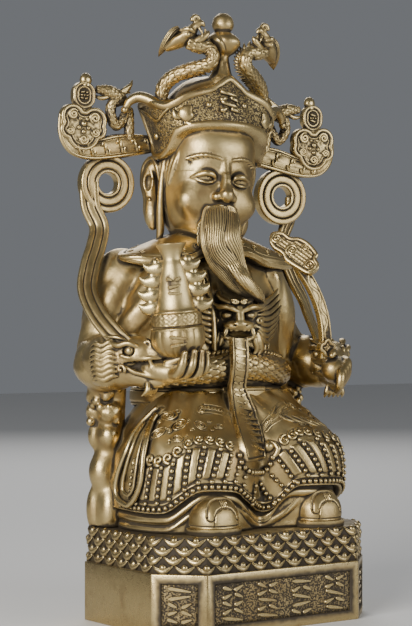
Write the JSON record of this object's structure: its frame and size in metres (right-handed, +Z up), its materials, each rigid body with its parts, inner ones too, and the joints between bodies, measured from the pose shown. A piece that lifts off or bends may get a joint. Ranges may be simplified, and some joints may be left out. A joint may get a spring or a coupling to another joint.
{
  "type": "seated caishen figure",
  "caption": "Cast brass God of Wealth seated on an octagonal plinth, in a winged court hat, with a treasure vase in the right hand and a ruyi sceptre in the left.",
  "frame": {"origin": "middle of the plinth's flat underside", "axes": "+Z up, the figure looks along -Y, +X is the figure's own left, the side of the sceptre"},
  "size_m": [0.2421, 0.147, 0.4611],
  "materials": {
    "plinth_brass": "cast brass, rubbed on the borders, dark in the grainy panels",
    "figure_brass": "cast brass with brown patina in the hollows and rubbed golden heights",
    "vase_brass": "paler rubbed cast brass",
    "ruyi_brass": "cast brass with brown patina"
  },
  "bodies": {
    "root": {"plinth": "plinth_brass", "figure": "figure_brass", "vase": "vase_brass", "ruyi": "ruyi_brass", "hat_wing_right": "figure_brass", "hat_wing_left": "figure_brass", "hat_dragon_right": "figure_brass", "hat_dragon_left": "figure_brass"}
  },
  "joints": []
}
